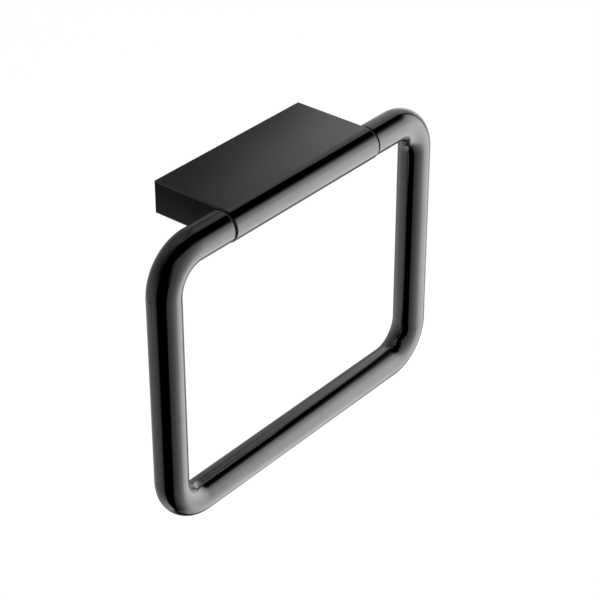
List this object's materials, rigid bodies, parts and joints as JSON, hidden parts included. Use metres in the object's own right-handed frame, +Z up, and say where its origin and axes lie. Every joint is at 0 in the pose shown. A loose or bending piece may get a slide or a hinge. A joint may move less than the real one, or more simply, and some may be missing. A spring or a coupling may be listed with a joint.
{
  "type": "towel ring",
  "caption": "Wall-mounted towel ring: a rounded-rectangle ring of polished tube swings on the half-round nose of a flat bracket with a hidden wall plate.",
  "frame": {"origin": "in the wall plane, midway between the two wall screws, at the height of the ring's swing axis", "axes": "+X to the right along the swing axis, +Y into the wall, +Z up"},
  "size_m": [0.22, 0.0554, 0.1704],
  "materials": {
    "black_chrome": "polished black chrome",
    "plate_metal": "plain cast zinc alloy",
    "screw_steel": "blackened steel",
    "plug_brass": "turned brass",
    "bush_plastic": "black acetal"
  },
  "bodies": {
    "bracket": {"bracket_body": "black_chrome", "wall_plate": "plate_metal", "clamp_screw": "screw_steel", "bush_left": "bush_plastic", "bush_right": "bush_plastic", "thrust_washer_left": "bush_plastic", "thrust_washer_right": "bush_plastic"},
    "ring": {"ring_tube": "black_chrome", "ring_plug_left": "plug_brass", "ring_plug_right": "plug_brass", "pivot_screw_left": "screw_steel", "pivot_screw_right": "screw_steel"}
  },
  "joints": [
    {"name": "ring_swing", "type": "hinge", "parent": "bracket", "child": "ring", "pos_m": [0, -0.046, 0], "axis": [1, 0, 0], "range_deg": [-193.5, 13.5]}
  ]
}
